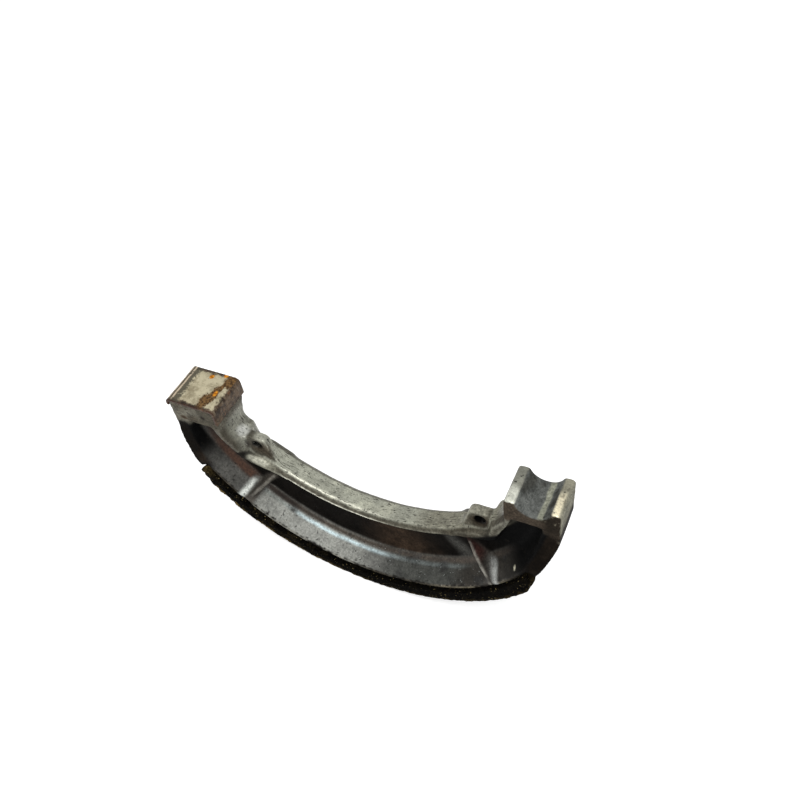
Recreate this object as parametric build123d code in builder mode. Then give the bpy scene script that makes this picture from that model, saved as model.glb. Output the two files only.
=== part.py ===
"""One shoe of an internal-expanding drum brake: casting, bonded lining and cam wear cap.

The shoe stands on its lining, as it would be put down on a bench, and rocks back a
little towards its cam end.  Profiles are drawn in the plane of the drum's circle: u runs
along the shoe towards the pivot end and w up towards the drum axis, both measured from
that axis.  v runs along the axis, away from the front of the shoe.  The origin of the
model is on the drum axis, midway across the lining.  Millimetres, +Z up.
"""
import os
from math import cos, radians, sin, sqrt, tan

from build123d import *

# ---- Driving dimensions ----------------------------------------------------------
DRUM_RADIUS = 80.0          # the lining runs in a 160 mm drum
ROCK = 6.9                  # degrees the pivot end stands up when the shoe rests

# lining
LINING_WIDTH = 28.0
LINING_THICKNESS = 6.0
LINING_HALF_ANGLE = 62.0    # degrees to either side of the shoe's middle
LINING_LEAD_ANGLE = 6.0     # degrees over which each end is thinned
LINING_END_THICKNESS = 3.7

# table: the curved plate that carries the lining
TABLE_WIDTH = 25.0
TABLE_EDGE = 1.5            # thickness at its two rims
TABLE_ROOT = 5.9            # thickness where its slopes would meet the web
ROOT_FILLET = 5.0
CAM_LAND_RISE = 3.8         # how far the cam end's land stands above the lining's seat
PIVOT_LAND_RISE = 3.1
LAND_GAP = 0.3              # angle left free between the lining and each land
WAIST_TOP = 16.5            # depth below the drum axis where the table starts to widen
WAIST_FOOT = 32.5           # depth where it reaches its full width

# web
WEB_THICKNESS = 7.6
WEB_SHIFT = 1.5             # the web and flange stand this far behind the middle plane
WEB_STUB = 6.0              # height of web that is turned with the table

# inner flange, an arc about its own centre
SHOE_DEPTH = 32.8           # from the friction face to the flange, in the shoe's middle
FLANGE_RADIUS = 69.5
FLANGE_TOP_WIDTH = 7.2
FLANGE_WIDTH = 11.0
FLANGE_SHOULDER = 2.5       # height of the sloping shoulders
FLANGE_THICKNESS = 3.8
FLANGE_HALF_ANGLE = 36.0

# cam end
CAM_INSET = 3.6             # outer face of the wear cap inside the drum's radius
CAM_LENGTH = 21.8
CAM_DROP = 2.6              # cam face below the drum axis
CAM_WIDTH = 18.5
CAP_THICKNESS = 1.2
CAP_BEND = 0.8              # inside radius of the cap's bends
CAP_LEG = 7.6               # length of the cap's inner leg, from the cam face
CAP_OUTER_LEG = 3.2
CAP_OVERHANG = 0.2          # the cap is wider than the block by this much on each side

# pivot end
PIVOT_INSET = 5.3           # outer face of the pivot block inside the drum's radius
PIVOT_LENGTH = 19.2
PIVOT_DROP = 3.3            # top of the pivot block below the drum axis
PIVOT_WIDTH = 15.8
PIVOT_EDGE = 1.2            # rounding of its long edges
PIN_INSET = 9.4             # pivot pin's axis inside the block's outer face
PIN_DROP = 1.95             # pivot pin's axis below the drum axis
PIN_RADIUS = 5.5
PIN_CLEARANCE = 0.1
SEAT_CHAMFER = 0.6

# both end blocks and the cheeks under them
BLOCK_BOTTOM = 13.0         # underside of the blocks below the drum axis
CHEEK_THICKNESS = 2.4       # wall that joins each block to its ear
CHEEK_DRAW = 1.7            # how far a cheek's front has drawn in half way down
CHEEK_MIDDLE = 25.0         # depth of that half way
CHEEK_FOOT = 40.0           # depth where it has drawn in to the flange's width
CHEEK_BACK_FOOT = 23.0      # the same at its back
CHEEK_BACK_BOW = 0.4

# stiffening ribs
RIB_ANGLE = 45.3
RIB_THICKNESS = 2.4
RIB_SETBACK = 0.5           # foot of the rib behind the table's rim
RIB_TOP_SETBACK = 0.9       # top of the rib behind the flange's edge
RIB_BOW = 1.1               # how far its free edge bows outwards

# spring ears
CAM_EAR_ANGLE = 60.1
CAM_EAR_INSET = 25.9        # hook hole's centre inside the drum's radius
CAM_EAR_FOOT = 2.2          # end of the ear's flat top inside the block's inner side
CAM_EAR_KNEE = 3.4          # rise from the ear's top to where the cheek meets the block's side
CAM_LIP_DROP = 3.6          # lower edge of the recess below the hook hole's centre
CAM_FLARE = 30.0            # degrees the sides of the recess lean outwards
PIVOT_EAR_ANGLE = 56.8
PIVOT_EAR_INSET = 26.7
PIVOT_EAR_FOOT = 5.2
PIVOT_EAR_KNEE = 9.1
PIVOT_LIP_DROP = 3.0
PIVOT_FLARE = 18.0
EAR_THICKNESS = 4.0
EAR_SHIFT = 0.5             # middle of the ear behind the middle plane
EAR_CROWN = 4.1             # top of the ear above the hook hole's centre
EAR_REACH = 3.9             # side of the ear towards the shoe's middle
EAR_SLOPE = 2.7             # how much further that side reaches at its root
EAR_ROOT = 5.0              # depth of the root below the hook hole's centre
EAR_ROUND = 2.5
EAR_RUN = 11.0              # from the hook hole to where the ear has sunk into the flange
HOOK_HOLE_RADIUS = 2.0
RECESS_WALL = 3.3           # recess wall beyond the hook hole, towards the block
RECESS_LEAN = 1.3           # how much further off the wall is at the ear's top
RECESS_RUN = 10.0           # length over which the recess runs out
FLARE_DEPTH = 3.4           # how far forward the sides lean before they run straight
LIP_FALL = 0.9              # fall of the lip under the hook hole
BOSS_DEPTH = 9.4            # underside of the ear's boss below the hook hole's centre
BOSS_SIDE = 8.2             # outer side of the boss beyond the hook hole, level with it
BOSS_TURN = (6.8, 4.2)      # beyond and below the hook hole, where that side turns under
BOSS_FOOT = (2.9, 7.4)      # beyond and below the hook hole, where it has turned

# ---- Values worked out from them ---------------------------------------------------
SEAT_RADIUS = DRUM_RADIUS - LINING_THICKNESS
LAND_RADIUS = SEAT_RADIUS + CAM_LAND_RISE
RIM_RADIUS = SEAT_RADIUS - TABLE_EDGE
ROOT_RADIUS = SEAT_RADIUS - TABLE_ROOT
STUB_RADIUS = ROOT_RADIUS - WEB_STUB
LAND_ANGLE = LINING_HALF_ANGLE + LAND_GAP
WEB_FRONT = WEB_SHIFT - WEB_THICKNESS / 2
WEB_BACK = WEB_SHIFT + WEB_THICKNESS / 2
FLANGE_CENTRE = FLANGE_RADIUS - (DRUM_RADIUS - SHOE_DEPTH)
FLANGE_FRONT = WEB_SHIFT - FLANGE_WIDTH / 2
FLANGE_BACK = WEB_SHIFT + FLANGE_WIDTH / 2
FLANGE_TOP_FRONT = WEB_SHIFT - FLANGE_TOP_WIDTH / 2
FLANGE_TOP_BACK = WEB_SHIFT + FLANGE_TOP_WIDTH / 2
CAM_OUTER = DRUM_RADIUS - CAM_INSET
CAM_INNER = CAM_OUTER - CAM_LENGTH
BLOCK_OUTER = CAM_OUTER - CAP_THICKNESS
BLOCK_INNER = CAM_INNER + CAP_THICKNESS
BLOCK_DROP = CAM_DROP + CAP_THICKNESS
BLOCK_WIDTH = CAM_WIDTH - 2 * CAP_OVERHANG
PIVOT_OUTER = DRUM_RADIUS - PIVOT_INSET
PIVOT_INNER = PIVOT_OUTER - PIVOT_LENGTH
PIN_OFFSET = PIVOT_OUTER - PIN_INSET
PIN_BORE = PIN_RADIUS + PIN_CLEARANCE
EAR_FRONT = EAR_SHIFT - EAR_THICKNESS / 2
EAR_BACK = EAR_SHIFT + EAR_THICKNESS / 2
SWEEP_ANGLE = 82.0          # turned far enough to run into both end blocks
WEB_ANGLE = 76.0            # the web stops inside the end walls
REACH = 2 * DRUM_RADIUS     # longer than anything on the shoe
CLEAR = LINING_WIDTH / 2    # wide enough to cut through one side of the shoe

# the plane of the drum's circle, seen from the front of the shoe: its x is u, its y is w
side = Plane(
    origin=(0, 0, 0),
    x_dir=(cos(radians(ROCK)), 0, sin(radians(ROCK))),
    z_dir=(0, -1, 0),
)
# the same frame seen along the shoe: its x is v, its y is w
end_view = Plane(
    origin=(0, 0, 0),
    x_dir=(0, 1, 0),
    z_dir=(cos(radians(ROCK)), 0, sin(radians(ROCK))),
)
drum_axis = Axis((0, 0, 0), (0, -1, 0))
flange_axis = Axis(side.from_local_coords((0, FLANGE_CENTRE, 0)), (0, -1, 0))


def side_at(v):
    """The side plane moved back to v."""
    return side.offset(-v)


def radial_plane(angle, centre=(0, 0, 0)):
    """Plane along the drum axis at angle from straight down; its x is v, its y the radius."""
    turn = radians(angle + ROCK)
    outward = Vector(sin(turn), 0, -cos(turn))
    return Plane(origin=centre, x_dir=(0, 1, 0), z_dir=Vector(0, 1, 0).cross(outward))


def on_circle(radius, angle):
    """Side-plane point at radius from the drum axis and angle from straight down."""
    return (radius * sin(radians(angle)), -radius * cos(radians(angle)))


def flange_height(u, drop=0.0):
    """Height w of the flange's arc at u, drop below its inner surface."""
    return FLANGE_CENTRE - sqrt((FLANGE_RADIUS + drop) ** 2 - u**2)


def flange_distance(angle, drop=0.0):
    """Distance of the flange's arc from the drum axis at angle, drop below its surface."""
    across = FLANGE_CENTRE * sin(radians(angle))
    return sqrt((FLANGE_RADIUS + drop) ** 2 - across**2) - FLANGE_CENTRE * cos(radians(angle))


cam_hole = on_circle(DRUM_RADIUS - CAM_EAR_INSET, -CAM_EAR_ANGLE)
pivot_hole = on_circle(DRUM_RADIUS - PIVOT_EAR_INSET, PIVOT_EAR_ANGLE)
cam_knee = cam_hole[1] + EAR_CROWN + CAM_EAR_KNEE
pivot_knee = pivot_hole[1] + EAR_CROWN + PIVOT_EAR_KNEE

# ---- Table: turned about the drum axis, then narrowed towards the end blocks --------
with BuildPart() as table:
    with BuildSketch(radial_plane(-SWEEP_ANGLE)) as table_section:
        with BuildLine():
            Polyline(
                (-TABLE_WIDTH / 2, LAND_RADIUS),
                (-TABLE_WIDTH / 2, RIM_RADIUS),
                (WEB_FRONT, ROOT_RADIUS),
                (WEB_FRONT, STUB_RADIUS),
                (WEB_BACK, STUB_RADIUS),
                (WEB_BACK, ROOT_RADIUS),
                (TABLE_WIDTH / 2, RIM_RADIUS),
                (TABLE_WIDTH / 2, LAND_RADIUS),
                close=True,
            )
        make_face()
        fillet(table_section.vertices().group_by(Axis.Y)[1], ROOT_FILLET)
    revolve(axis=drum_axis, revolution_arc=2 * SWEEP_ANGLE)

    # seat of the lining, between the two raised lands
    with BuildSketch(side):
        with BuildLine():
            seat = CenterArc((0, 0), SEAT_RADIUS, -90 - LAND_ANGLE, 2 * LAND_ANGLE)
            clearance = CenterArc((0, 0), DRUM_RADIUS, -90 - LAND_ANGLE, 2 * LAND_ANGLE)
            Line(seat @ 0, clearance @ 0)
            Line(seat @ 1, clearance @ 1)
        make_face()
    extrude(amount=CLEAR, both=True, mode=Mode.SUBTRACT)

    # the pivot end's land is lower than the cam end's
    with BuildSketch(side):
        with BuildLine():
            land_sweep = SWEEP_ANGLE - LAND_ANGLE
            land = CenterArc(
                (0, 0), SEAT_RADIUS + PIVOT_LAND_RISE, -90 + LAND_ANGLE, land_sweep
            )
            clearance = CenterArc((0, 0), DRUM_RADIUS, -90 + LAND_ANGLE, land_sweep)
            Line(land @ 0, clearance @ 0)
            Line(land @ 1, clearance @ 1)
        make_face()
    extrude(amount=CLEAR, both=True, mode=Mode.SUBTRACT)

    # flat outer walls under the blocks, and nothing above the blocks' undersides
    with BuildSketch(side):
        with Locations((-BLOCK_OUTER - REACH / 2, 0), (PIVOT_OUTER + REACH / 2, 0)):
            Rectangle(REACH, REACH)
        with Locations((0, REACH / 2 - BLOCK_BOTTOM)):
            Rectangle(REACH, REACH)
    extrude(amount=CLEAR, both=True, mode=Mode.SUBTRACT)

    # both rims draw in from the table's width to the blocks' widths
    for end, width in ((-1, BLOCK_WIDTH), (1, PIVOT_WIDTH)):
        with BuildSketch(end_view):
            for face in (-1, 1):
                with BuildLine():
                    Polyline(
                        (face * width / 2, 0),
                        (face * width / 2, -WAIST_TOP),
                        (face * TABLE_WIDTH / 2, -WAIST_FOOT),
                        (face * TABLE_WIDTH, -WAIST_FOOT),
                        (face * TABLE_WIDTH, 0),
                        close=True,
                    )
                make_face()
        extrude(amount=end * REACH, mode=Mode.SUBTRACT)


# ---- Cheeks: each joins a block to its ear and to the flange -------------------------
def make_cheek(end, inner, width, hole, foot, knee):
    """Cheek and ear at one end, which is -1 at the cam and 1 at the pivot."""
    hole_u, hole_w = hole
    crown = hole_w + EAR_CROWN
    run_u = hole_u - end * EAR_RUN
    outer = inner + CHEEK_THICKNESS
    with BuildPart() as cheek:
        with BuildSketch(side):
            with BuildLine():
                upper = FilletPolyline(
                    (end * inner, -BLOCK_BOTTOM + CHEEK_THICKNESS),
                    (end * inner, knee),
                    (end * (inner - foot), crown),
                    (hole_u - end * EAR_REACH, crown),
                    (hole_u - end * (EAR_REACH + EAR_SLOPE), hole_w - EAR_ROOT),
                    (run_u, flange_height(run_u, FLANGE_SHOULDER)),
                    radius=EAR_ROUND,
                )
                lower = Spline(
                    (run_u, flange_height(run_u, FLANGE_THICKNESS)),
                    (hole_u - end * HOOK_HOLE_RADIUS, hole_w - BOSS_DEPTH),
                    (hole_u + end * BOSS_FOOT[0], hole_w - BOSS_FOOT[1]),
                    (hole_u + end * BOSS_TURN[0], hole_w - BOSS_TURN[1]),
                    (hole_u + end * BOSS_SIDE, hole_w),
                    (end * outer, knee + EAR_ROUND),
                    (end * outer, -BLOCK_BOTTOM + CHEEK_THICKNESS),
                )
                Line(upper @ 1, lower @ 0)
                Line(lower @ 1, upper @ 0)
            make_face()
        extrude(amount=width / 2, both=True)

        # front and back draw in from the block's width to the flange's
        with BuildSketch(end_view):
            with BuildLine():
                front = ThreePointArc(
                    (-width / 2, -BLOCK_BOTTOM),
                    (-width / 2 + CHEEK_DRAW, -CHEEK_MIDDLE),
                    (FLANGE_FRONT, -CHEEK_FOOT),
                )
                Polyline(
                    front @ 1,
                    (FLANGE_FRONT, -REACH),
                    (-REACH, -REACH),
                    (-REACH, -BLOCK_BOTTOM),
                    front @ 0,
                )
            make_face()
            with BuildLine():
                back = ThreePointArc(
                    (width / 2, -BLOCK_BOTTOM),
                    (FLANGE_BACK + CHEEK_BACK_BOW, -(BLOCK_BOTTOM + CHEEK_BACK_FOOT) / 2),
                    (FLANGE_BACK, -CHEEK_BACK_FOOT),
                )
                Polyline(
                    back @ 1,
                    (FLANGE_BACK, -REACH),
                    (REACH, -REACH),
                    (REACH, -BLOCK_BOTTOM),
                    back @ 0,
                )
            make_face()
        extrude(amount=end * REACH, mode=Mode.SUBTRACT)
    return cheek.part


cam_cheek = make_cheek(-1, BLOCK_INNER, BLOCK_WIDTH, cam_hole, CAM_EAR_FOOT, cam_knee)
pivot_cheek = make_cheek(
    1, PIVOT_INNER, PIVOT_WIDTH, pivot_hole, PIVOT_EAR_FOOT, pivot_knee
)

# ---- Flange: a bead turned about its own centre, with the cheeks at its two ends -----
with BuildPart() as flange:
    with BuildSketch(radial_plane(-FLANGE_HALF_ANGLE, flange_axis.position)):
        with BuildLine():
            Polyline(
                (FLANGE_FRONT, FLANGE_RADIUS + FLANGE_SHOULDER),
                (FLANGE_TOP_FRONT, FLANGE_RADIUS),
                (FLANGE_TOP_BACK, FLANGE_RADIUS),
                (FLANGE_BACK, FLANGE_RADIUS + FLANGE_SHOULDER),
                (WEB_BACK, FLANGE_RADIUS + FLANGE_THICKNESS),
                (WEB_FRONT, FLANGE_RADIUS + FLANGE_THICKNESS),
                close=True,
            )
        make_face()
    revolve(axis=flange_axis, revolution_arc=2 * FLANGE_HALF_ANGLE)
    add(cam_cheek)
    add(pivot_cheek)

    # spring recesses, in front of each ear and behind it: a pit, then flared sides
    for end, hole, lip_drop, flare in (
        (-1, cam_hole, CAM_LIP_DROP, CAM_FLARE),
        (1, pivot_hole, PIVOT_LIP_DROP, PIVOT_FLARE),
    ):
        hole_u, hole_w = hole
        crown = hole_w + EAR_CROWN
        run_end = hole_u - end * RECESS_RUN
        outline = [
            (hole_u + end * RECESS_WALL, crown + RECESS_RUN),
            (hole_u + end * (RECESS_WALL + RECESS_LEAN), crown),
            (hole_u + end * RECESS_WALL, hole_w - lip_drop),
            (hole_u - end * HOOK_HOLE_RADIUS, hole_w - lip_drop - LIP_FALL),
            (run_end, flange_height(run_end)),
            (run_end, crown + RECESS_RUN),
        ]
        with BuildSketch(side_at(EAR_FRONT)):
            Polygon(*outline, align=None)
        extrude(amount=EAR_FRONT - FLANGE_TOP_FRONT, mode=Mode.SUBTRACT)
        with BuildSketch(side_at(FLANGE_TOP_FRONT)):
            Polygon(*outline, align=None)
        extrude(amount=FLARE_DEPTH, taper=-flare, mode=Mode.SUBTRACT)
        with BuildSketch(side_at(FLANGE_TOP_FRONT - FLARE_DEPTH)):
            Polygon(*outline, align=None)
            offset(amount=FLARE_DEPTH * tan(radians(flare)), kind=Kind.INTERSECTION)
        extrude(amount=CLEAR, mode=Mode.SUBTRACT)
        with BuildSketch(side_at(EAR_BACK)):
            Polygon(*outline, align=None)
        extrude(amount=EAR_BACK - FLANGE_TOP_BACK, mode=Mode.SUBTRACT)
        with BuildSketch(side_at(FLANGE_TOP_BACK)):
            Polygon(*outline, align=None)
        extrude(amount=-FLARE_DEPTH, taper=-flare, mode=Mode.SUBTRACT)
        with BuildSketch(side_at(FLANGE_TOP_BACK + FLARE_DEPTH)):
            Polygon(*outline, align=None)
            offset(amount=FLARE_DEPTH * tan(radians(flare)), kind=Kind.INTERSECTION)
        extrude(amount=-CLEAR, mode=Mode.SUBTRACT)

# ---- Casting: table and flange joined by the web, the blocks and the ribs ------------
with BuildPart() as casting:
    add(table.part)
    add(flange.part)

    # web, buried in the table and in the middle of the flange and the cheeks
    with BuildSketch(side_at(WEB_SHIFT)):
        with BuildLine():
            outer_edge = CenterArc((0, 0), RIM_RADIUS, -90 - WEB_ANGLE, 2 * WEB_ANGLE)
            inner_edge = CenterArc(
                (0, FLANGE_CENTRE),
                FLANGE_RADIUS + FLANGE_THICKNESS / 2,
                -90 - FLANGE_HALF_ANGLE,
                2 * FLANGE_HALF_ANGLE,
            )
            Polyline(
                inner_edge @ 0,
                (cam_hole[0], cam_hole[1] - BOSS_DEPTH + EAR_ROUND),
                (cam_hole[0] - EAR_ROOT, cam_hole[1] - EAR_ROUND),
                (-BLOCK_INNER - CHEEK_THICKNESS / 2, cam_knee),
                (-BLOCK_INNER - CHEEK_THICKNESS / 2, -BLOCK_BOTTOM + CHEEK_THICKNESS),
                outer_edge @ 0,
            )
            Polyline(
                inner_edge @ 1,
                (pivot_hole[0], pivot_hole[1] - BOSS_DEPTH + EAR_ROUND),
                (pivot_hole[0] + EAR_ROOT, pivot_hole[1] - EAR_ROUND),
                (PIVOT_INNER + CHEEK_THICKNESS / 2, pivot_knee),
                (PIVOT_INNER + CHEEK_THICKNESS / 2, -BLOCK_BOTTOM + CHEEK_THICKNESS),
                outer_edge @ 1,
            )
        make_face()
    extrude(amount=WEB_THICKNESS / 2, both=True)

    # cam block, with its top edges rounded to the inside of the cap's bends
    with BuildSketch(side):
        with BuildLine():
            Polyline(
                (-BLOCK_OUTER, -BLOCK_BOTTOM),
                (-BLOCK_OUTER, -BLOCK_DROP),
                (-BLOCK_INNER, -BLOCK_DROP),
                (-BLOCK_INNER, -BLOCK_BOTTOM),
                close=True,
            )
        cam_face = make_face()
        fillet(cam_face.vertices().group_by(Axis.Y)[-1], CAP_BEND)
    extrude(amount=BLOCK_WIDTH / 2, both=True)

    # pivot block and its half-round seat
    with BuildSketch(side):
        with BuildLine():
            Polyline(
                (PIVOT_OUTER, -BLOCK_BOTTOM),
                (PIVOT_OUTER, -PIVOT_DROP),
                (PIVOT_INNER, -PIVOT_DROP),
                (PIVOT_INNER, -BLOCK_BOTTOM),
                close=True,
            )
        pivot_face = make_face()
        fillet(pivot_face.vertices().group_by(Axis.Y)[-1], PIVOT_EDGE)
        with Locations((PIN_OFFSET, -PIN_DROP)):
            Circle(PIN_BORE, mode=Mode.SUBTRACT)
    extrude(amount=PIVOT_WIDTH / 2, both=True)
    seat_rims = casting.edges().filter_by(GeomType.CIRCLE).filter_by(
        lambda edge: abs(edge.radius - PIN_BORE) < 0.01
    )
    chamfer(seat_rims, SEAT_CHAMFER)

    # ribs, front and back
    for angle in (-RIB_ANGLE, RIB_ANGLE):
        with BuildSketch(radial_plane(angle)):
            for face, edge in ((-1, FLANGE_FRONT), (1, FLANGE_BACK)):
                rib_foot = (face * (TABLE_WIDTH / 2 - RIB_SETBACK), RIM_RADIUS + TABLE_EDGE / 2)
                rib_top = (
                    edge - face * RIB_TOP_SETBACK,
                    flange_distance(angle, FLANGE_THICKNESS + TABLE_EDGE / 2),
                )
                bowed = (
                    (rib_foot[0] + rib_top[0]) / 2 + face * RIB_BOW,
                    (rib_foot[1] + rib_top[1]) / 2,
                )
                with BuildLine():
                    ThreePointArc(rib_foot, bowed, rib_top)
                    Polyline(rib_top, (WEB_SHIFT, rib_top[1]), (WEB_SHIFT, rib_foot[1]), rib_foot)
                make_face()
        extrude(amount=RIB_THICKNESS / 2, both=True)

    # hook holes
    with BuildSketch(side):
        with Locations(cam_hole, pivot_hole):
            Circle(HOOK_HOLE_RADIUS)
    extrude(amount=CLEAR, both=True, mode=Mode.SUBTRACT)
casting.part.label = "shoe_casting"

# ---- Lining: bonded to the table, thinned at both ends --------------------------------
with BuildPart() as lining:
    with BuildSketch(side):
        with BuildLine():
            bond = CenterArc((0, 0), SEAT_RADIUS, -90 - LINING_HALF_ANGLE, 2 * LINING_HALF_ANGLE)
            friction = CenterArc(
                (0, 0),
                DRUM_RADIUS,
                -90 - LINING_HALF_ANGLE + LINING_LEAD_ANGLE,
                2 * (LINING_HALF_ANGLE - LINING_LEAD_ANGLE),
            )
            tip_radius = SEAT_RADIUS + LINING_END_THICKNESS
            Polyline(bond @ 0, on_circle(tip_radius, -LINING_HALF_ANGLE), friction @ 0)
            Polyline(bond @ 1, on_circle(tip_radius, LINING_HALF_ANGLE), friction @ 1)
        make_face()
    extrude(amount=LINING_WIDTH / 2, both=True)
lining.part.label = "brake_lining"

# ---- Wear cap: one strip folded over the cam block -----------------------------------
with BuildPart() as cap:
    with BuildSketch(side):
        with BuildLine():
            outside = FilletPolyline(
                (-CAM_OUTER, -CAM_DROP - CAP_OUTER_LEG),
                (-CAM_OUTER, -CAM_DROP),
                (-CAM_INNER, -CAM_DROP),
                (-CAM_INNER, -CAM_DROP - CAP_LEG),
                radius=CAP_BEND + CAP_THICKNESS,
            )
            inside = FilletPolyline(
                (-BLOCK_OUTER, -CAM_DROP - CAP_OUTER_LEG),
                (-BLOCK_OUTER, -BLOCK_DROP),
                (-BLOCK_INNER, -BLOCK_DROP),
                (-BLOCK_INNER, -CAM_DROP - CAP_LEG),
                radius=CAP_BEND,
            )
            Line(outside @ 0, inside @ 0)
            Line(outside @ 1, inside @ 1)
        make_face()
    extrude(amount=CAM_WIDTH / 2, both=True)
cap.part.label = "cam_wear_cap"

os.makedirs("parts", exist_ok=True)
export_step(casting.part, "parts/shoe_casting.step")
export_step(lining.part, "parts/brake_lining.step")
export_step(cap.part, "parts/cam_wear_cap.step")
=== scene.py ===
from math import cos, radians, sin

import bpy
import numpy as np
from mathutils import Matrix, Vector


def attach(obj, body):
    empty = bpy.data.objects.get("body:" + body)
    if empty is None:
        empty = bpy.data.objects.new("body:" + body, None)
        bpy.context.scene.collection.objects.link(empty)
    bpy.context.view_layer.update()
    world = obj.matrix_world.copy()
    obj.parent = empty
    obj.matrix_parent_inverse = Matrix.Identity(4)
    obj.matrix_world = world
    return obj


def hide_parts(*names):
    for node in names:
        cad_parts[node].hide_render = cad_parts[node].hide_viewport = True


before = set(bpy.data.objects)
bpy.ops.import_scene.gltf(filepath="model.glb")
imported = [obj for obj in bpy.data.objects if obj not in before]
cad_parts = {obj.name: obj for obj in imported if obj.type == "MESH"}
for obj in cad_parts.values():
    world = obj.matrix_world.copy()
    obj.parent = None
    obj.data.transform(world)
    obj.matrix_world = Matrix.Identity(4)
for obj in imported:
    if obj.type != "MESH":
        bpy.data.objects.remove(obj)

# A worn, greasy brake shoe that rests on its lining on white paper.  Lengths in this
# script are millimetres in the shoe's own frame: u along the shoe towards the pivot
# end, v away from the viewer along the drum axis, w up towards the drum axis.
# Angles are degrees from straight below the drum axis, positive at the pivot end.
MM = 0.001
ROCK = radians(6.9)         # how far the pivot end stands up when the shoe rests
DRUM_RADIUS = 80.0
FLOOR_LEVEL = -DRUM_RADIUS
SEAT_RADIUS = 74.0          # where the lining sits on the table
RIM_STEP = (71.6, 72.6)     # radii between which the table's slope ends at its rim
TABLE_FOOT = (65.5, 67.0)   # radii between which the web turns into the table
TABLE_HALF_WIDTH = 12.5
LINING_HALF_WIDTH = 14.0
LINING_HALF_ANGLE = 62.0
WEB_MIDDLE = 1.5            # the web and flange stand this far behind the middle
FLANGE_CENTRE = 22.3        # height of the centre of the flange's arc
FLANGE_RADIUS = 69.5
RIBS = (43.6, 47.0)         # angles of a rib's two sides
PIN = (65.3, -1.95)         # u and w of the pivot pin's axis
PIN_WALL = (6.1, 6.6)       # distances from it between which its groove ends
CAM_HOLE = (-46.9, -27.0)   # u and w of the two hook holes
PIVOT_HOLE = (44.6, -29.2)
HOOK_WALL = (1.9, 2.5)      # distances from them between which the holes end
BLOCK_FOOT = (-16.0, -12.0)  # heights between which the hollows turn into the blocks
CAP_MIDDLE = -65.5          # u of the middle of the cap's top
CAP_HALF_LENGTH = 10.9
CAP_HALF_WIDTH = 9.25
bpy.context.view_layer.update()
scene = bpy.context.scene


# ---- Noise and masks on mesh points ---------------------------------------------------
def lattice(cell, seed):
    """Random values from 0 to 1 at whole-number cells."""
    x, y, z = (cell[:, i].astype(np.uint64) for i in range(3))
    n = x * np.uint64(374761393) + y * np.uint64(668265263) + z * np.uint64(2246822519)
    n = n + np.uint64(seed) * np.uint64(3266489917)
    n = (n ^ (n >> np.uint64(15))) * np.uint64(2246822519)
    n = (n ^ (n >> np.uint64(13))) * np.uint64(3266489917)
    n = (n ^ (n >> np.uint64(16))) & np.uint64(0xFFFF)
    return n.astype(float) / 0xFFFF


def noise(points, size, seed):
    """Smooth noise from -1 to 1 with features of the given size."""
    p = points / size + 1000.0
    cell = np.floor(p)
    t = p - cell
    t = t * t * (3 - 2 * t)
    total = np.zeros(len(points))
    for corner in range(8):
        step = np.array([corner & 1, corner >> 1 & 1, corner >> 2 & 1])
        weight = np.prod(np.where(step == 1, t, 1 - t), axis=1)
        total += weight * lattice(cell + step, seed)
    return total * 2 - 1


def rise(x, lo, hi):
    """0 up to lo, 1 from hi on, and smooth between."""
    t = np.clip((x - lo) / (hi - lo), 0, 1)
    return t * t * (3 - 2 * t)


def band(x, lo, hi, soft):
    """1 from lo to hi, falling to 0 over the soft width about each of them."""
    return rise(x, lo - soft, lo + soft) * (1 - rise(x, hi - soft, hi + soft))


def srgb(r, g, b):
    """Linear colour of an ordinary 0-255 colour."""
    parts = [c / 255 for c in (r, g, b)]
    return tuple(c / 12.92 if c <= 0.04045 else ((c + 0.055) / 1.055) ** 2.4 for c in parts)


# ---- Meshes -------------------------------------------------------------------------
WELD_GAP = 0.002            # points of the CAD mesh closer than this are one
EDGE_SHARE = 0.9            # how far each rounding step moves a point to its surroundings
EDGE_GIVE = 0.06            # the same at outer edges while the inner corners are filled


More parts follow.
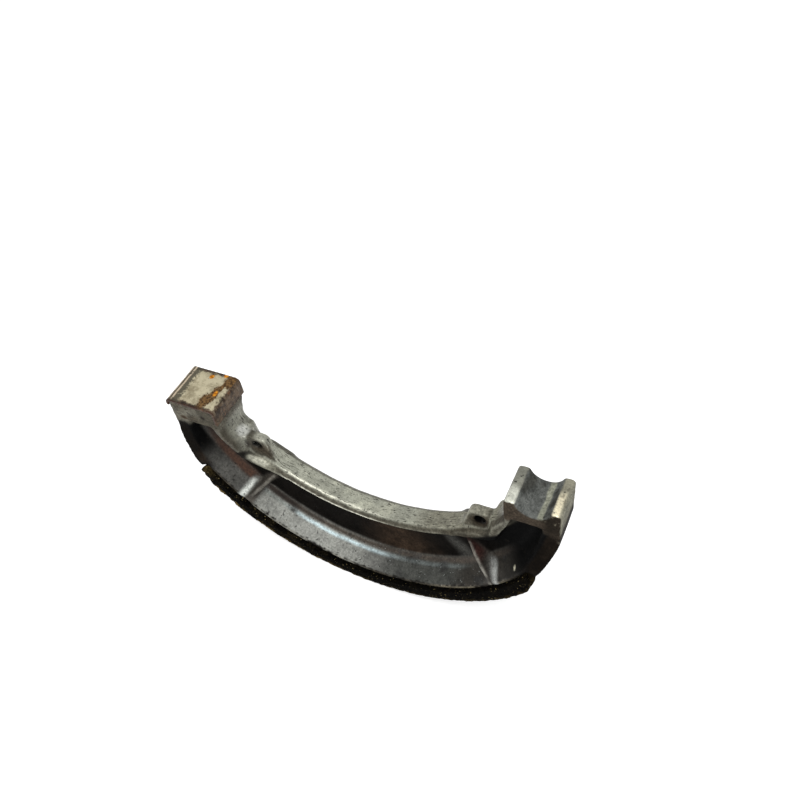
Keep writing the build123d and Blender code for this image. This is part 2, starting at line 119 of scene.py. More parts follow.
class Piece:
    """A finely meshed copy of one CAD node that takes its place in the picture.

    row holds its points in millimetres, and edges the two points of each edge.
    """

    def __init__(self, name, node, voxel, rounding, fill, triangles):
        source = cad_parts[node]
        self.object = bpy.data.objects.new(name, source.data.copy())
        scene.collection.objects.link(self.object)
        box = np.array(source.bound_box) / MM
        self.box = (box.min(axis=0), box.max(axis=0))
        self.apply("WELD", merge_threshold=WELD_GAP * MM)
        self.apply("REMESH", mode="VOXEL", voxel_size=voxel * MM, use_smooth_shade=True)
        self.relax(rounding, EDGE_SHARE)
        self.fill(fill, outside=EDGE_GIVE)
        loops = len(self.object.data.loops)
        self.apply("DECIMATE", ratio=min(1.0, triangles / (loops / 2)))
        self.object.data.materials.clear()
        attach(self.object, "root")
        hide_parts(node)

    def apply(self, kind, **settings):
        """Runs one modifier on the mesh and reads its points and edges again."""
        modifier = self.object.modifiers.new(kind, kind)
        for key, value in settings.items():
            setattr(modifier, key, value)
        graph = bpy.context.evaluated_depsgraph_get()
        graph.update()
        made = bpy.data.meshes.new_from_object(self.object.evaluated_get(graph))
        self.object.modifiers.clear()
        self.object.data = made
        count = len(made.vertices)
        flat = np.empty(count * 3)
        made.vertices.foreach_get("co", flat)
        self.row = flat.reshape(-1, 3) / MM
        edges = np.empty(len(made.edges) * 2, dtype=int)
        made.edges.foreach_get("vertices", edges)
        self.edges = edges.reshape(-1, 2)
        self.degree = np.bincount(edges, minlength=count).astype(float)

    def uvw(self, vectors=None):
        """Points, or the vectors given, in the shoe's own frame."""
        x, y, z = (self.row if vectors is None else vectors).T
        along, up = x * cos(ROCK) + z * sin(ROCK), z * cos(ROCK) - x * sin(ROCK)
        return np.stack([along, y, up], axis=1)

    def normals(self):
        """Direction in which the surface faces at each vertex."""
        flat = np.empty(len(self.row) * 3)
        self.object.data.vertices.foreach_get("normal", flat)
        return flat.reshape(-1, 3)

    def spread(self, values, times=1):
        """Averages each vertex's value with its neighbours', several times over."""
        a, b = self.edges[:, 0], self.edges[:, 1]
        for _ in range(times):
            total = np.bincount(a, values[b], len(values))
            total += np.bincount(b, values[a], len(values))
            values = 0.5 * values + 0.5 * total / self.degree
        return values

    def around(self, times=1):
        """Average place of each vertex and its neighbours."""
        return np.stack([self.spread(self.row[:, i], times) for i in range(3)], axis=1)

    def place(self, row):
        """Moves the points to row, and no further than the CAD node's box."""
        self.row = np.clip(row, self.box[0], self.box[1])
        self.object.data.vertices.foreach_set("co", (self.row * MM).ravel())
        self.object.data.update()

    def fill(self, times, zone=1.0, outside=0.0):
        """Widens the fillets of a zone; outside is the share by which edges give way."""
        for _ in range(times):
            shift = self.around() - self.row
            hollow = np.einsum("ij,ij->i", shift, self.normals()) > 0
            self.place(self.row + shift * (zone * np.where(hollow, 1.0, outside))[:, None])

    def relax(self, times, zone):
        """Rounds a zone all over; zone is one share for all points or one for each."""
        share = np.broadcast_to(zone, len(self.row))[:, None]
        for _ in range(times):
            self.place(self.row + (self.around() - self.row) * share)

    def bulge(self, times):
        """How far each vertex stands out from its surroundings."""
        return np.einsum("ij,ij->i", self.row - self.around(times), self.normals())

    def move(self, distance):
        """Moves each vertex along its normal."""
        self.place(self.row + self.normals() * distance[:, None])

    def paint(self, name, values):
        """Keeps a number for each vertex, for the materials to read."""
        layer = self.object.data.attributes.new(name, "FLOAT", "POINT")
        layer.data.foreach_set("value", values.astype(np.float32))

    def locate(self, name, points):
        """Keeps three numbers for each vertex."""
        layer = self.object.data.attributes.new(name, "FLOAT_VECTOR", "POINT")
        layer.data.foreach_set("vector", points.astype(np.float32).ravel())


class Coat:
    """Broad colours of a piece, laid over one another and kept on its vertices."""

    def __init__(self, piece, base):
        self.piece = piece
        self.color = np.tile(np.array(srgb(*base)), (len(piece.row), 1))

    def over(self, mask, color):
        """Lays one 0-255 colour over what is there, where the mask is 1."""
        mask = np.clip(mask, 0, 1)[:, None]
        self.color = self.color * (1 - mask) + np.array(srgb(*color)) * mask

    def keep(self):
        """Leaves the colours on the mesh for the material."""
        self.piece.locate("tint", self.color)


# ---- Casting ------------------------------------------------------------------------
casting = Piece("casting", "shoe_casting", voxel=0.45, rounding=3, fill=26, triangles=192000)
u, v, w = casting.uvw().T
radius = np.hypot(u, w)
side_angle = np.degrees(np.abs(np.arctan2(u, -w)))
across = np.abs(v - WEB_MIDDLE)
# wide fillets at the ribs' feet, round crests on the ribs, and softer blocks and cheeks
around_ribs = band(side_angle, 38, 53, 3) * rise(radius, 57, 60) * rise(across, 3, 4)
crests = band(side_angle, *RIBS, 0.8) * rise(across, 4, 6) * (around_ribs > 0.5)
ends = rise(side_angle, 49, 54) * rise(SEAT_RADIUS - radius, 2, 4)
casting.relax(16, crests)
casting.fill(45, around_ribs)
casting.relax(5, ends)
# the skin of the casting
spot = casting.uvw()
pits = rise(noise(spot, 1.3, 3) + 0.35 * noise(spot, 0.6, 4), 0.85, 1.1)
ripple = 0.10 * noise(spot, 9.0, 1) + 0.05 * noise(spot, 3.5, 2) + 0.02 * noise(spot, 1.2, 5)
casting.move(ripple - 0.05 - 0.14 * pits)
# what the colours go by: places, directions, edges and noise
spot = casting.uvw()
u, v, w = spot.T
radius = np.hypot(u, w)
angle = np.degrees(np.arctan2(u, -w))
side_angle = np.abs(angle)
cam_side, pivot_side = u < 0, u > 0
across = np.abs(v - WEB_MIDDLE)
under = np.hypot(u, w - FLANGE_CENTRE) - FLANGE_RADIUS
ridge = casting.spread(casting.bulge(5), 1)
crest = casting.spread(casting.bulge(24), 2)
facing = casting.uvw(casting.normals())
inward = (-facing[:, 0] * u - facing[:, 2] * w) / radius
patch = noise(spot, 6.0, 31)
fine = noise(spot, 1.1, 33)
rough_patch = patch + 0.6 * noise(spot, 2.5, 32)


def near(at, reach):
    """1 at a place, falling to 0 at the given reach in each direction."""
    away = np.sqrt((((spot - at) / reach) ** 2).sum(axis=1)) + 0.12 * rough_patch
    return 1 - rise(away, 0.35, 1.0)


coat = Coat(casting, (52, 50, 46))
# web: black grease and painted shade under the flange, brown in the middle, partly grease and partly a
# painted sheen
web = 1 - rise(across, 4.2, 5.4)
coat.over(web, (19, 17, 15))
coat.over(web * (0.5 + 0.5 * rise(rough_patch, -0.6, 0.9)) * band(angle, 0, 22, 8), (56, 45, 36))
coat.over(web * band(angle, 34, 39, 2) * (1 - rise(v, -1.0, 3.0)), (66, 65, 62))
# the table's slopes, lighter over the left half and darker towards the pivot end, partly grime and partly a
# painted reflection of the lamp; brightest along the upper part of the left half
bench = rise(across, 3.6, 5.2) * rise(radius, *TABLE_FOOT) * rise(inward, 0.2, 0.6)
coat.over(bench, (100, 100, 96))
coat.over(bench * band(angle, -45, -2, 6), (133, 134, 128))
coat.over(bench * (1 - rise(angle, -52, -46)), (80, 79, 75))
coat.over(bench * rise(angle, -1, 12), (72, 73, 69))
coat.over(bench * rise(angle, 27, 36), (52, 49, 44))
coat.over(bench * band(across, 3.0, 5.9, 0.6), (70, 63, 56))
coat.over(bench * band(across, 3.0, 6.2, 0.8) * (1 - rise(angle, -33, -25)), (42, 35, 30))
# painted highlight (sheen) along their upper part
sheen_highlight = bench * band(across + 0.2 * patch, 6.5, 7.6, 0.6)
coat.over(sheen_highlight * rise(angle, -36, -25) * (1 - rise(angle, -3, 12)) * 0.85, (190, 209, 213))
coat.over(sheen_highlight * (1 - rise(angle, -34, -26)) * rise(angle, -50, -44) * 0.6, (104, 110, 106))
coat.over(sheen_highlight * rise(angle, 0, 12) * (1 - rise(angle, 26, 40)) * 0.6, (120, 128, 127))
# stains and specks on them, and their lower edge over the lining
coat.over(bench * rise(rough_patch, 0.5, 1.1) * 0.7, (54, 54, 53))
specks = rise(fine + 0.8 * patch, 0.85, 1.0) * (1 - rise(angle, 5, 20))
coat.over(bench * specks * 0.7, (40, 38, 34))
edge = rise(radius, 71.9, 72.6) * rise(np.abs(facing[:, 1]), 0.5, 0.8) * (1 - rise(side_angle, 58, 61))
coat.over(edge, (66, 62, 54))
coat.over(edge * band(angle, -46, -4, 6), (140, 139, 130))
coat.over(edge * band(angle, 24, 52, 3), (104, 98, 84))
coat.over(edge * rise(rough_patch, 0.2, 0.6), (22, 19, 15))
crumbs = rise(np.abs(v) + 0.8 * fine + 0.4 * patch, TABLE_HALF_WIDTH - 0.6, TABLE_HALF_WIDTH)
coat.over(bench * crumbs, (24, 21, 16))
# brown band at the web's foot under the cam block
brown = band(radius, 65.5, 70.0, 1.0) * band(across, 4.6, 7.2, 0.8) * (1 - rise(angle, -50, -47))
coat.over(brown * rise(angle, -76, -62), (72, 51, 40))
# ribs, with a painted highlight in their outer fillets
rib = band(side_angle, RIBS[0] - 0.4, RIBS[1] + 0.4, 1.0) * rise(across, 4.0, 6.0) * rise(under, 3.0, 4.0)
coat.over(rib, (70, 66, 60))
coat.over(rib * pivot_side, (46, 43, 39))
coat.over(rib * pivot_side * (1 - rise(radius, 62, 67)), (62, 40, 36))
# a lighter line along each rib's free edge
crest_line = rise(crest, 0.06, 0.28) * band(side_angle, 44.8, 45.9, 0.4)
coat.over(rib * crest_line * np.where(pivot_side, 0.9, 0.5), (146, 143, 134))
fillet_highlight = band(side_angle, 47.0, 48.8, 0.9) * rise(radius, 64, 72) * rise(across, 4.6, 7.0)
coat.over(fillet_highlight * cam_side, (205, 209, 202))
coat.over(fillet_highlight * pivot_side, (174, 176, 172))
# hollows under the blocks, black with grease and with painted shade that deepens towards the blocks, and the
# casting's two outer ends
hollow = rise(under, 3.0, 4.5)
cam_depth, pivot_depth = rise(w, -38, -24) * (1 - 0.8 * brown), rise(w, -49, -33)
hollow_grease_and_shade = hollow * np.where(cam_side, cam_depth, pivot_depth)
coat.over(hollow_grease_and_shade, (9, 9, 9))
outer = rise(radius, *RIM_STEP) * hollow * rise(side_angle, LINING_HALF_ANGLE - 2, LINING_HALF_ANGLE)
coat.over(outer, (15, 12, 9))
coat.over(outer * rise(rough_patch, -0.2, 0.8) * np.where(cam_side, 0.6, 0.25), (46, 38, 30))
coat.over(outer * rise(rough_patch + 0.3 * fine, 0.8, 1.1), (84, 80, 70))
# faces towards the drum axis: wiped and handled bare metal, with painted light on the flange's top
inner = (1 - rise(under, 2.4, 4.0)) * (1 - rise(w, -15.0, -12.5))
coat.over(inner, (84, 81, 71))
top = inner * rise(inward, 0.45, 0.8) * rise(v, -3.0, -2.2)
coat.over(top, (160, 161, 147))
# patchy bare metal, and a painted reflection that is brightest over the left half and fades towards the
# pivot end
coat.over(top * rise(rough_patch, -0.2, 0.9) * band(angle, -32, -3, 8), (198, 199, 180))
coat.over(top * rise(patch, 0.0, 0.8) * band(angle, -3, 24, 5), (176, 176, 159))
coat.over(top * rise(angle, 16, 32), (130, 128, 113))
coat.over(top * (1 - rise(angle, -58, -50)), (140, 140, 128))
# painted shade: a dark line along the far edge of the flange's top
coat.over(top * rise(v, 4.2, 5.0) * (angle < 52), (88, 86, 76))
coat.over(inner * rise(w, -26, -16) * pivot_side, (70, 66, 60))
# the cheek under the cam block
cheek = inner * (1 - rise(angle, -64, -56))
coat.over(cheek * rise(facing[:, 0], 0.3, 0.7), (126, 126, 115))
coat.over(cheek * (1 - rise(v, -6.5, -2.5)), (80, 76, 66))
# painted highlight on convex edges and painted shade in the creases, with some wear and grime, and the
# flange's sloping front shoulder
coat.over(inner * rise(crest, 0.10, 0.45) * 0.55 * (1 - 0.7 * cheek), (190, 189, 172))
coat.over(inner * rise(-crest, 0.10, 0.40) * 0.8 * (1 - rise(v, -1.2, 0.4)), (52, 48, 40))
coat.over(inner * (1 - rise(v, -3.4, -2.4)) * band(angle, 35, 54, 4) * 0.8, (66, 62, 53))
# painted highlight along the flange's front top edge
flange_edge_highlight = band(angle, -50, 6, 8) * (1 - 0.5 * rise(angle, 0, 12))
coat.over(inner * rise(ridge, 0.02, 0.07) * band(v, -4.0, -1.0, 0.6) * flange_edge_highlight, (230, 229, 212))
# cam block
block = rise(w + 1.6 * rough_patch * rise(radius, *RIM_STEP), *BLOCK_FOOT)
cam = block * cam_side
coat.over(cam, (112, 109, 98))
coat.over(cam * rise(rough_patch, -0.1, 0.8), (80, 74, 63))
coat.over(cam * rise(u + 1.5 * rough_patch, -65, -62), (80, 76, 66))
coat.over(cam * rise(facing[:, 0], 0.3, 0.8), (98, 95, 85))
# pivot block, the groove for its pin and the two lands beside the groove
pivot = block * pivot_side
seat = 1 - rise(np.hypot(u - PIN[0], w - PIN[1]), *PIN_WALL)
coat.over(pivot, (66, 58, 49))
coat.over(pivot * rise(u + 2.0 * rough_patch, 66, 71), (36, 31, 25))
coat.over(block * rise(fine + 0.7 * patch, 0.75, 1.05) * 0.7, (132, 125, 109))
coat.over(pivot * seat, (92, 94, 91))
coat.over(pivot * seat * rise(rough_patch, 0.0, 0.8) * 0.75, (50, 49, 44))
# painted highlight: a light strip on the groove's outer wall
coat.over(pivot * seat * band(u + 0.6 * rough_patch, 66.8, 68.9, 0.4), (138, 139, 124))
lands = pivot * (1 - seat) * rise(facing[:, 2], 0.5, 0.8)
inner_land, outer_land = lands * (u < PIN[0]), lands * (u > PIN[0])
coat.over(inner_land, (132, 132, 121))
# the inner land brightest at the front: worn metal with a painted highlight
coat.over(inner_land * (1 - rise(v + 2.0 * patch, -3.0, 1.0)), (212, 213, 200))
coat.over(outer_land, (146, 143, 126))
cream = (1 - rise(v + 2.5 * patch, 2.0, 4.0)) * (1 - rise(u, 73.2, 74.0))
coat.over(outer_land * cream, (228, 219, 190))
coat.over(lands * rise(fine + patch, 0.9, 1.2) * 0.6, (90, 84, 70))
end_face = pivot * (u > PIN[0]) * rise(facing[:, 0], 0.5, 0.9)
coat.over(end_face * rise(w - 2.0 * rough_patch, -16, -11), (128, 126, 112))
# hook holes, painted black as shade, and dirt with painted shade in their recesses
for hole_u, hole_w in (CAM_HOLE, PIVOT_HOLE):
    coat.over(near((hole_u * 0.99, -1.6, hole_w - 0.6), (6.5, 1.6, 5.0)), (56, 50, 41))
    away = np.hypot(u - hole_u, w - hole_w) + 0.3 * fine
    coat.over(inner * (1 - rise(away, *HOOK_WALL)) * (np.abs(v) < 5), (6, 5, 5))
# single touches: place, reach, strength and colour
for at, reach, strength, shade in (
    ((-43.0, -1.1, -29.8), (7.0, 1.7, 4.6), 0.90, (60, 54, 45)),        # cam recess, lower part: dirt and painted shade
    ((-45.0, 0.7, -22.6), (5.0, 5.0, 2.2), 1.0, (168, 168, 154)),       # top of the cam ear
    ((43.4, 0.6, -24.8), (5.0, 5.0, 2.2), 1.0, (140, 138, 124)),        # top of the pivot ear
    ((-51.0, -1.5, -27.2), (1.5, 2.5, 4.2), 1.0, (40, 35, 29)),         # painted shadow on the cam recess's side wall
    ((-61.0, -9.1, -8.2), (1.3, 1.5, 1.2), 1.0, (38, 33, 27)),          # dark pit on the cam block
    ((-70.5, -9.1, -11.0), (2.4, 1.5, 1.6), 1.0, (62, 50, 38)),         # rust on the cam block
    ((-53.2, 0.2, -22.7), (3.6, 4.0, 3.4), 1.0, (206, 207, 200)),       # painted highlight at the foot of the cheek
    ((-44.0, -4.0, -33.4), (11.0, 2.4, 4.2), 0.70, (142, 141, 126)),    # painted highlight along the lip under the cam recess
    ((-45.6, -4.2, -32.9), (7.5, 1.6, 2.8), 0.75, (194, 193, 177)),     # painted highlight streak on that lip
    ((-41.9, -1.3, -26.8), (2.6, 1.8, 3.2), 0.80, (84, 78, 67)),        # face of the cam ear
    ((60.2, -9.9, -38.3), (1.0, 1.2, 0.8), 1.0, (206, 201, 178)),       # bright spot by the rib
):
    coat.over(near(at, reach) * strength, shade)
coat.over(pits * 0.8, (30, 27, 24))
coat.keep()

# how far the skin is bare metal, and how much it shines
bare = np.clip(0.8 * top + lands + 0.7 * cheek + 0.5 * bench + 0.4 * cam, 0, 1)
casting.paint("bare", bare)
shine = 0.4 * top + 0.5 * lands + 0.4 * bench * (1 - hollow_grease_and_shade) + 0.3 * cheek
casting.paint("shine", np.clip(shine, 0, 1))
casting.paint("ridge", ridge)
casting.paint("top", top)
casting.paint("bench", bench * (1 - outer) * rise(-w, 44, 50))
casting.locate("shoe", spot)
casting.locate("flow", np.stack([np.radians(angle) * FLANGE_RADIUS, v, under], axis=1))

# ---- Lining -------------------------------------------------------------------------
lining = Piece("lining", "brake_lining", voxel=0.5, rounding=2, fill=0, triangles=120000)
spot = lining.uvw()
u, v, w = spot.T
radius = np.hypot(u, w)
angle = np.degrees(np.arctan2(u, -w))
# its outer edges and its two ends have crumbled away, most of all at the cam end
corner = rise(radius, DRUM_RADIUS - 3.2, DRUM_RADIUS)
corner *= rise(np.abs(v), LINING_HALF_WIDTH - 2.5, LINING_HALF_WIDTH)
tips = rise(np.abs(angle), LINING_HALF_ANGLE - 4, LINING_HALF_ANGLE)
crumble = 0.35 + 0.6 * noise(spot, 1.8, 11) + 0.4 * noise(spot, 0.9, 12)
ragged = 1 - 0.72 * rise(angle, -52, -34)
grain = 0.06 * noise(spot, 1.0, 13) + 0.06 * noise(spot, 3.0, 14)
lining.move(grain - 0.03 - np.clip(crumble, 0, 1) * (0.85 * ragged * corner + 0.9 * tips))
# black and greasy, rubbed on its face, with a dry fringe towards the cam end
coat = Coat(lining, (7, 6, 5))
clumps = noise(spot, 2.2, 15) + 0.7 * noise(spot, 0.9, 16)
left = 1 - rise(angle, -40, 5)
coat.over((0.25 + 0.75 * left) * rise(clumps, 0.0, 0.8) * 0.8, (26, 22, 14))
sweep = noise(np.stack([np.radians(angle) * 3.0, v, radius * 0.2], axis=1), 0.7, 17)
rubbed = rise(radius, DRUM_RADIUS - 1.0, DRUM_RADIUS - 0.4)
coat.over(rubbed * (0.45 + 0.35 * sweep), (58, 55, 49))
dry = rise(radius + 0.8 * clumps, DRUM_RADIUS - 2.0, DRUM_RADIUS - 0.4)
dry = dry * rise(np.abs(v), LINING_HALF_WIDTH - 2.0, LINING_HALF_WIDTH - 0.4) + 0.5 * tips
coat.over(dry * (0.18 + 0.82 * left) * rise(clumps, -0.5, 0.4), (92, 78, 46))
coat.keep()
lining.locate("shoe", lining.uvw())

# ---- Wear cap -----------------------------------------------------------------------
cap = Piece("cap", "cam_wear_cap", voxel=0.2, rounding=3, fill=0, triangles=60000)
spot = cap.uvw()
flakes = noise(spot, 3.0, 21) + 0.6 * noise(spot, 1.2, 22)
cap.move(0.03 * noise(spot, 2.5, 23) - 0.03 - 0.06 * rise(flakes, 0.5, 1.0))
cap.locate("shoe", cap.uvw())


# ---- Materials ----------------------------------------------------------------------
class Finish:
    """Builds one procedural node material; a value is a number, a colour or a socket."""

    def __init__(self, name):
        self.material = bpy.data.materials.new(name)
        self.material.use_nodes = True
        self.tree = self.material.node_tree
        self.tree.nodes.clear()
        self.shoe = self.painted("shoe", "Vector")

    def node(self, kind, **settings):
        """New node with the given settings."""
        made = self.tree.nodes.new(kind)
        for key, value in settings.items():
            setattr(made, key, value)
        return made

    def plug(self, socket, value):
        """Links a socket's value, or sets it on the socket itself."""
        if isinstance(value, bpy.types.NodeSocket):
            self.tree.links.new(value, socket)
        elif isinstance(value, tuple) and socket.type == "RGBA":
            socket.default_value = (*value, 1.0)
        else:
            socket.default_value = value

    def painted(self, name, kind="Fac"):
        """What the mesh keeps under a name: a number, or three as a Vector."""
        return self.node("ShaderNodeAttribute", attribute_name=name).outputs[kind]

    def axis(self, index):
        """u, v or w of the place that is shaded."""
        split = self.node("ShaderNodeSeparateXYZ")
        self.plug(split.inputs[0], self.shoe)
        return split.outputs[index]

    def math(self, operation, a, b=0.0):
        made = self.node("ShaderNodeMath", operation=operation)
        self.plug(made.inputs[0], a)
        self.plug(made.inputs[1], b)
        return made.outputs[0]

    def scaled(self, vector, factors):
        """Stretches a pattern along an axis where its factor is under 1."""
        made = self.node("ShaderNodeVectorMath", operation="MULTIPLY")
        self.plug(made.inputs[0], vector)
        self.plug(made.inputs[1], factors)
        return made.outputs[0]

    def step(self, value, lo, hi, out_lo=0.0, out_hi=1.0):
        """Smooth step from out_lo at lo to out_hi at hi."""
        made = self.node("ShaderNodeMapRange", interpolation_type="SMOOTHSTEP", clamp=True)
        self.plug(made.inputs["Value"], value)
        names = ("From Min", "From Max", "To Min", "To Max")
        for socket, number in zip(names, (lo, hi, out_lo, out_hi)):
            self.plug(made.inputs[socket], number)
        return made.outputs["Result"]

    def noise(self, size, detail=3.0, rough=0.55, vector=None):
        """Noise with features of the given size in millimetres."""
        made = self.node("ShaderNodeTexNoise")
        self.plug(made.inputs["Vector"], vector or self.shoe)
        self.plug(made.inputs["Scale"], 1.0 / size)
        self.plug(made.inputs["Detail"], detail)
        self.plug(made.inputs["Roughness"], rough)
        return made.outputs["Fac"]

    def blend(self, amount, under, over, mode="MIX"):
        """Lays one colour over another by the given amount."""
        made = self.node("ShaderNodeMix", data_type="RGBA", blend_type=mode)
        self.plug(made.inputs["Factor"], amount)
        self.plug(made.inputs["A"], under)
        self.plug(made.inputs["B"], over)
        return made.outputs["Result"]

    def both(self, *masks):
        """Masks multiplied together."""
        total = masks[0]
        for mask in masks[1:]:
            total = self.math("MULTIPLY", total, mask)
        return total

    def finish(self, color, roughness, metallic, heights, specular=0.2):
        """Surface shader; heights is a list of (height, millimetres) for its relief."""
        shader = self.node("ShaderNodeBsdfPrincipled")
        self.plug(shader.inputs["Base Color"], color)
        self.plug(shader.inputs["Roughness"], roughness)
        self.plug(shader.inputs["Metallic"], metallic)
        self.plug(shader.inputs["Specular IOR Level"], specular)
        normal = None
        for height, depth in heights:
            bump = self.node("ShaderNodeBump")
            self.plug(bump.inputs["Strength"], 1.0)
            self.plug(bump.inputs["Distance"], depth * MM)
            self.plug(bump.inputs["Height"], height)
            if normal:
                self.plug(bump.inputs["Normal"], normal)
            normal = bump.outputs["Normal"]
        self.plug(shader.inputs["Normal"], normal)
        out = self.node("ShaderNodeOutputMaterial")
        self.plug(out.inputs["Surface"], shader.outputs[0])


# ---- Worn aluminium casting ----
metal = Finish("worn_casting")
flow = metal.painted("flow", "Vector")
ridge = metal.painted("ridge")
bare = metal.painted("bare")
top = metal.painted("top")
bench = metal.painted("bench")
mottle = metal.noise(4.0, 5.0, 0.7)
speckle = metal.noise(0.8, 3.0, 0.7)
fine = metal.noise(0.35, 2.0, 0.6)
color = metal.painted("tint", "Vector")
# uneven tone and grain, less on bare metal
shade = metal.blend(metal.step(mottle, 0.3, 0.7), (0.45, 0.45, 0.45), (1.6, 1.6, 1.6))
color = metal.blend(metal.step(bare, 0.2, 0.9, 0.65, 0.32), color, shade, "MULTIPLY")
grain = metal.blend(metal.step(speckle, 0.35, 0.65), (0.6, 0.6, 0.6), (1.35, 1.35, 1.35))
color = metal.blend(metal.step(bare, 0.2, 0.9, 0.7, 0.4), color, grain, "MULTIPLY")
# painted glints on the table's slopes, dark specks and scratches along the flange, and grime with painted
# shade in the creases
glints = metal.both(metal.step(metal.noise(0.9, 2.0, 0.6), 0.69, 0.74), bench)
color = metal.blend(metal.math("MULTIPLY", glints, 0.55), color, srgb(196, 202, 198))
specks = metal.step(metal.noise(1.2, 2.5, 0.6), 0.36, 0.32)
specks = metal.both(specks, metal.step(bare, 0.1, 0.6))
color = metal.blend(metal.math("MULTIPLY", specks, 0.85), color, srgb(28, 26, 23))
scratches = metal.noise(1.0, 2.0, 0.6, metal.scaled(flow, (0.22, 2.1, 0.6)))
light_scratches = metal.both(top, metal.step(scratches, 0.62, 0.70, 0.0, 0.4))
color = metal.blend(light_scratches, color, srgb(214, 214, 198))
dark_scratches = metal.both(top, metal.step(scratches, 0.40, 0.37, 0.0, 0.9))
color = metal.blend(dark_scratches, color, srgb(52, 50, 44))
color = metal.blend(metal.step(ridge, -0.02, -0.10, 0.0, 0.5), color, srgb(20, 18, 16))
shine = metal.painted("shine")
mirror = metal.math("ADD", metal.math("MULTIPLY", shine, 0.5), 0.015)
gloss = metal.math("SUBTRACT", 0.58, metal.math("MULTIPLY", shine, 0.3))
gloss = metal.math("ADD", gloss, metal.step(mottle, 0.35, 0.65, -0.06, 0.06))
metallic = metal.math("MULTIPLY", bare, 0.55)
metal.finish(color, gloss, metallic, [(speckle, 0.10), (fine, 0.04)], mirror)

# ---- Friction lining: its painted tint with grit and pale grains ----
compound = Finish("crumbly_lining")
grit = compound.noise(0.8, 4.0, 0.7)
clumps = compound.noise(2.0, 3.0, 0.6)
color = compound.painted("tint", "Vector")
grain = compound.blend(compound.step(grit, 0.35, 0.65), (0.25, 0.25, 0.25), (1.9, 1.9, 1.9))
color = compound.blend(0.8, color, grain, "MULTIPLY")
grains = compound.step(compound.noise(0.9, 2.0, 0.6), 0.66, 0.71, 0.0, 0.7)
color = compound.blend(grains, color, srgb(124, 111, 76))
compound.finish(color, 0.85, 0.0, [(grit, 0.3), (clumps, 0.3)], 0.01)

# ---- Rusty steel cap with a patch worn pale by the cam ----
# along and over run from -1 to 1 across the cap's top
steel = Finish("rusty_cap")
along = steel.math("DIVIDE", steel.math("SUBTRACT", steel.axis(0), CAP_MIDDLE), CAP_HALF_LENGTH)
over = steel.math("DIVIDE", steel.axis(1), CAP_HALF_WIDTH)
height = steel.axis(2)
blotch = steel.noise(3.5, 6.0, 0.7)
crumbs = steel.noise(0.9, 3.0, 0.6)
streak = steel.noise(1.2, 3.0, 0.6, steel.scaled(steel.shoe, (1.0, 1.2, 0.25)))
ragged = steel.math("SUBTRACT", steel.noise(1.8, 5.0, 0.7), 0.5)
warped = steel.math("ADD", steel.math("MULTIPLY", ragged, 1.6), steel.math("MULTIPLY", crumbs, 0.5))
warped = steel.math("SUBTRACT", warped, 0.25)
flat = steel.step(height, -3.3, -2.9)


def blob(at, reach, soft=0.2):
    """Ragged spot on the cap's top, with its place and reach along and over the cap."""
    a = steel.math("DIVIDE", steel.math("SUBTRACT", along, at[0]), reach[0])
    b = steel.math("DIVIDE", steel.math("SUBTRACT", over, at[1]), reach[1])
    span = steel.math("SQRT", steel.math("ADD", steel.both(a, a), steel.both(b, b)))
    span = steel.math("ADD", span, warped)
    return steel.both(steel.step(span, 1.0 + soft, 1.0 - soft), flat)


def distance(value, middle):
    """How far a value is from a middle."""
    return steel.math("ABSOLUTE", steel.math("SUBTRACT", value, middle))


rust = steel.blend(steel.step(blotch, 0.38, 0.62), srgb(46, 36, 29), srgb(100, 84, 68))
rust = steel.blend(steel.step(streak, 0.56, 0.66, 0.0, 0.6), rust, srgb(124, 112, 94))
rust = steel.blend(steel.step(crumbs, 0.44, 0.34, 0.0, 0.8), rust, srgb(32, 26, 22))
orange = steel.step(steel.noise(2.4, 4.0, 0.6), 0.62, 0.72, 0.0, 0.45)
rust = steel.blend(orange, rust, srgb(140, 84, 44))
pale = steel.blend(steel.step(blotch, 0.35, 0.6), srgb(148, 138, 112), srgb(196, 187, 158))
pale = steel.blend(steel.step(crumbs, 0.37, 0.31, 0.0, 0.8), pale, srgb(92, 82, 62))
margin = steel.math("MAXIMUM", distance(along, 0.04), steel.math("ABSOLUTE", over))
margin = steel.math("ADD", margin, steel.math("MULTIPLY", warped, 0.22))
color = steel.blend(steel.both(steel.step(margin, 0.90, 0.80), flat), rust, pale)
# dark strip inside the outer bend
strip = steel.step(steel.math("ADD", along, steel.math("MULTIPLY", warped, 0.5)), -0.44, -0.62)
strip = steel.both(strip, steel.step(along, -0.93, -0.86, 0.0, 0.9), flat)
color = steel.blend(strip, color, srgb(74, 70, 58))
# a brown stain that wanders from the front edge to the inner bend, and three ochre spots
stain = steel.blend(steel.step(crumbs, 0.4, 0.6), srgb(70, 50, 28), srgb(124, 94, 56))
for at, reach in (
    ((0.40, -0.55), (0.20, 0.40)),
    ((0.56, -0.14), (0.15, 0.46)),
    ((0.66, 0.30), (0.08, 0.30)),
    ((0.80, 0.72), (0.22, 0.40)),
):
    color = steel.blend(blob(at, reach), color, stain)
ochre = steel.blend(steel.step(crumbs, 0.4, 0.6), srgb(150, 84, 14), srgb(226, 150, 34))
for at, reach in (((0.60, -0.06), (0.07, 0.14)), ((0.02, 0.70), (0.09, 0.12)), ((0.50, 0.93), (0.08, 0.10))):
    color = steel.blend(blob(at, reach), color, ochre)
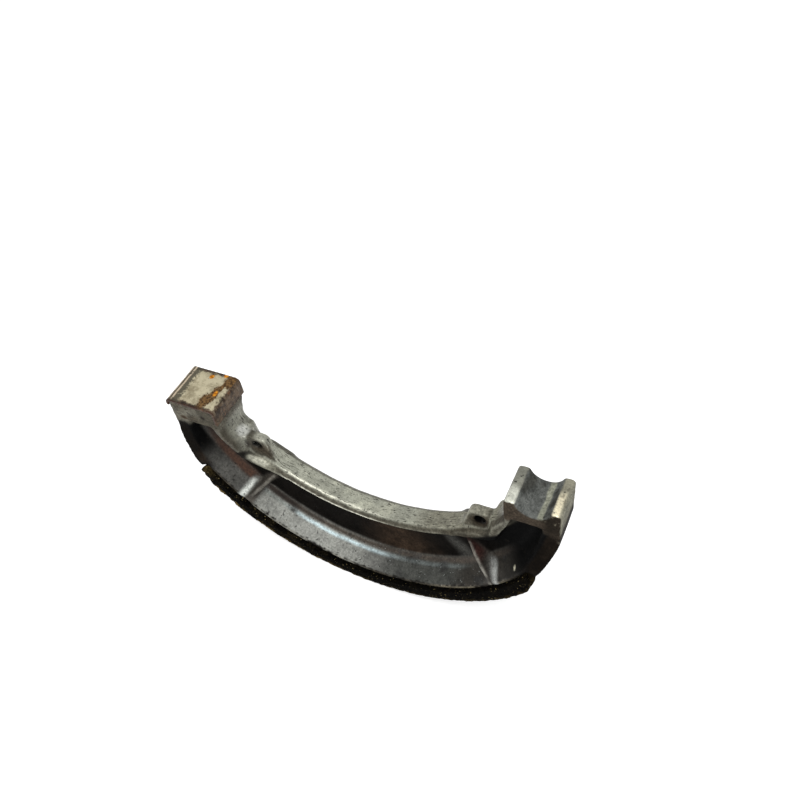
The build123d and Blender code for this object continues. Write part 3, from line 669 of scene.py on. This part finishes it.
# dark brown lip in front, and two painted highlight lines along the outer bend
lip = steel.both(steel.step(over, -0.93, -0.975), steel.step(streak, 0.3, 0.55))
color = steel.blend(steel.math("MULTIPLY", lip, 0.85), color, srgb(62, 38, 27))
for middle in (-0.90, -0.765):
    bend_highlight = steel.both(steel.step(distance(along, middle), 0.05, 0.02), steel.step(streak, 0.36, 0.5))
    bend_highlight = steel.both(bend_highlight, steel.step(height, -5.2, -4.6), steel.step(over, -0.98, -0.80))
    color = steel.blend(steel.math("MULTIPLY", bend_highlight, 0.85), color, srgb(214, 196, 170))
steel.finish(color, steel.step(crumbs, 0.3, 0.7, 0.34, 0.6), 0.3, [(blotch, 0.2), (crumbs, 0.1)], 0.15)

for piece, finish, slot in (
    (casting, metal, "cast_aluminium"),
    (lining, compound, "friction_lining"),
    (cap, steel, "rusty_steel"),
):
    piece.object.data.materials.append(finish.material)

# ---- Paper, light and camera -----------------------------------------------------------
PAPER_SIZE = 4.0            # metres
PAPER_GREY = 0.85
PAPER_GLOW = 0.45           # makes it show white, seen directly or mirrored; lights nothing
ROOM_LIGHT = 0.7            # what falls on the object
ROOM_SEEN = 1.0             # what the camera sees past the paper
ELEVATION, AZIMUTH, ROLL = radians(50.71), radians(24.44), radians(0.36)
CAMERA_PLACE = (81.9, -144.2, 218.0)
SENSOR = 36.0               # millimetres
PICTURE_PIXELS = 800
FOCAL_PIXELS = 801

bpy.ops.mesh.primitive_plane_add(size=PAPER_SIZE, location=(0, 0, FLOOR_LEVEL * MM))
floor = bpy.context.object
floor.name = "floor"
paper = bpy.data.materials.new("paper")
paper.use_nodes = True
nodes, links = paper.node_tree.nodes, paper.node_tree.links
diffuse = nodes["Principled BSDF"]
diffuse.inputs["Base Color"].default_value = (PAPER_GREY, PAPER_GREY, PAPER_GREY, 1)
diffuse.inputs["Roughness"].default_value = 1.0
diffuse.inputs["Specular IOR Level"].default_value = 0.0
glow = nodes.new("ShaderNodeEmission")
rays = nodes.new("ShaderNodeLightPath")
seen = nodes.new("ShaderNodeMath")
seen.operation = "MAXIMUM"
links.new(rays.outputs["Is Camera Ray"], seen.inputs[0])
links.new(rays.outputs["Is Glossy Ray"], seen.inputs[1])
level = nodes.new("ShaderNodeMath")
level.operation = "MULTIPLY"
level.inputs[1].default_value = PAPER_GLOW
links.new(seen.outputs[0], level.inputs[0])
links.new(level.outputs[0], glow.inputs["Strength"])
both = nodes.new("ShaderNodeAddShader")
links.new(diffuse.outputs[0], both.inputs[0])
links.new(glow.outputs[0], both.inputs[1])
links.new(both.outputs[0], nodes["Material Output"].inputs["Surface"])
floor.data.materials.append(paper)

world = bpy.data.worlds.new("room")
scene.world = world
world.use_nodes = True
nodes, links = world.node_tree.nodes, world.node_tree.links
background = nodes["Background"]
background.inputs["Color"].default_value = (1, 1, 1, 1)
rays = nodes.new("ShaderNodeLightPath")
brightness = nodes.new("ShaderNodeMapRange")
brightness.inputs["To Min"].default_value = ROOM_LIGHT
brightness.inputs["To Max"].default_value = ROOM_SEEN
links.new(rays.outputs["Is Camera Ray"], brightness.inputs["Value"])
links.new(brightness.outputs["Result"], background.inputs["Strength"])


def lamp(name, where, towards, size, energy):
    """Square lamp, in metres and watts."""
    light = bpy.data.lights.new(name, "AREA")
    light.size = size
    light.energy = energy
    made = bpy.data.objects.new(name, light)
    scene.collection.objects.link(made)
    made.location = where
    made.rotation_mode = "QUATERNION"
    made.rotation_quaternion = (Vector(towards) - made.location).to_track_quat("-Z", "Y")


lamp("window", where=(0.09, -0.23, 0.47), towards=(-0.02, 0, -0.06), size=0.20, energy=1.6)

# the camera stands where the photo's did
flat_reach = cos(ELEVATION)
forward = Vector((-flat_reach * sin(AZIMUTH), flat_reach * cos(AZIMUTH), -sin(ELEVATION)))
level_right = Vector((cos(AZIMUTH), sin(AZIMUTH), 0))
level_up = level_right.cross(forward)
right = level_right * cos(ROLL) + level_up * sin(ROLL)
upward = level_up * cos(ROLL) - level_right * sin(ROLL)
camera = bpy.data.objects.new("camera", bpy.data.cameras.new("camera"))
scene.collection.objects.link(camera)
pose = Matrix((right, upward, -forward)).transposed().to_4x4()
pose.translation = Vector(CAMERA_PLACE) * MM
camera.matrix_world = pose
camera.data.sensor_width = SENSOR
camera.data.lens = SENSOR * FOCAL_PIXELS / PICTURE_PIXELS
camera.data.clip_start = 0.01
scene.camera = camera
scene.view_settings.view_transform = "Standard"
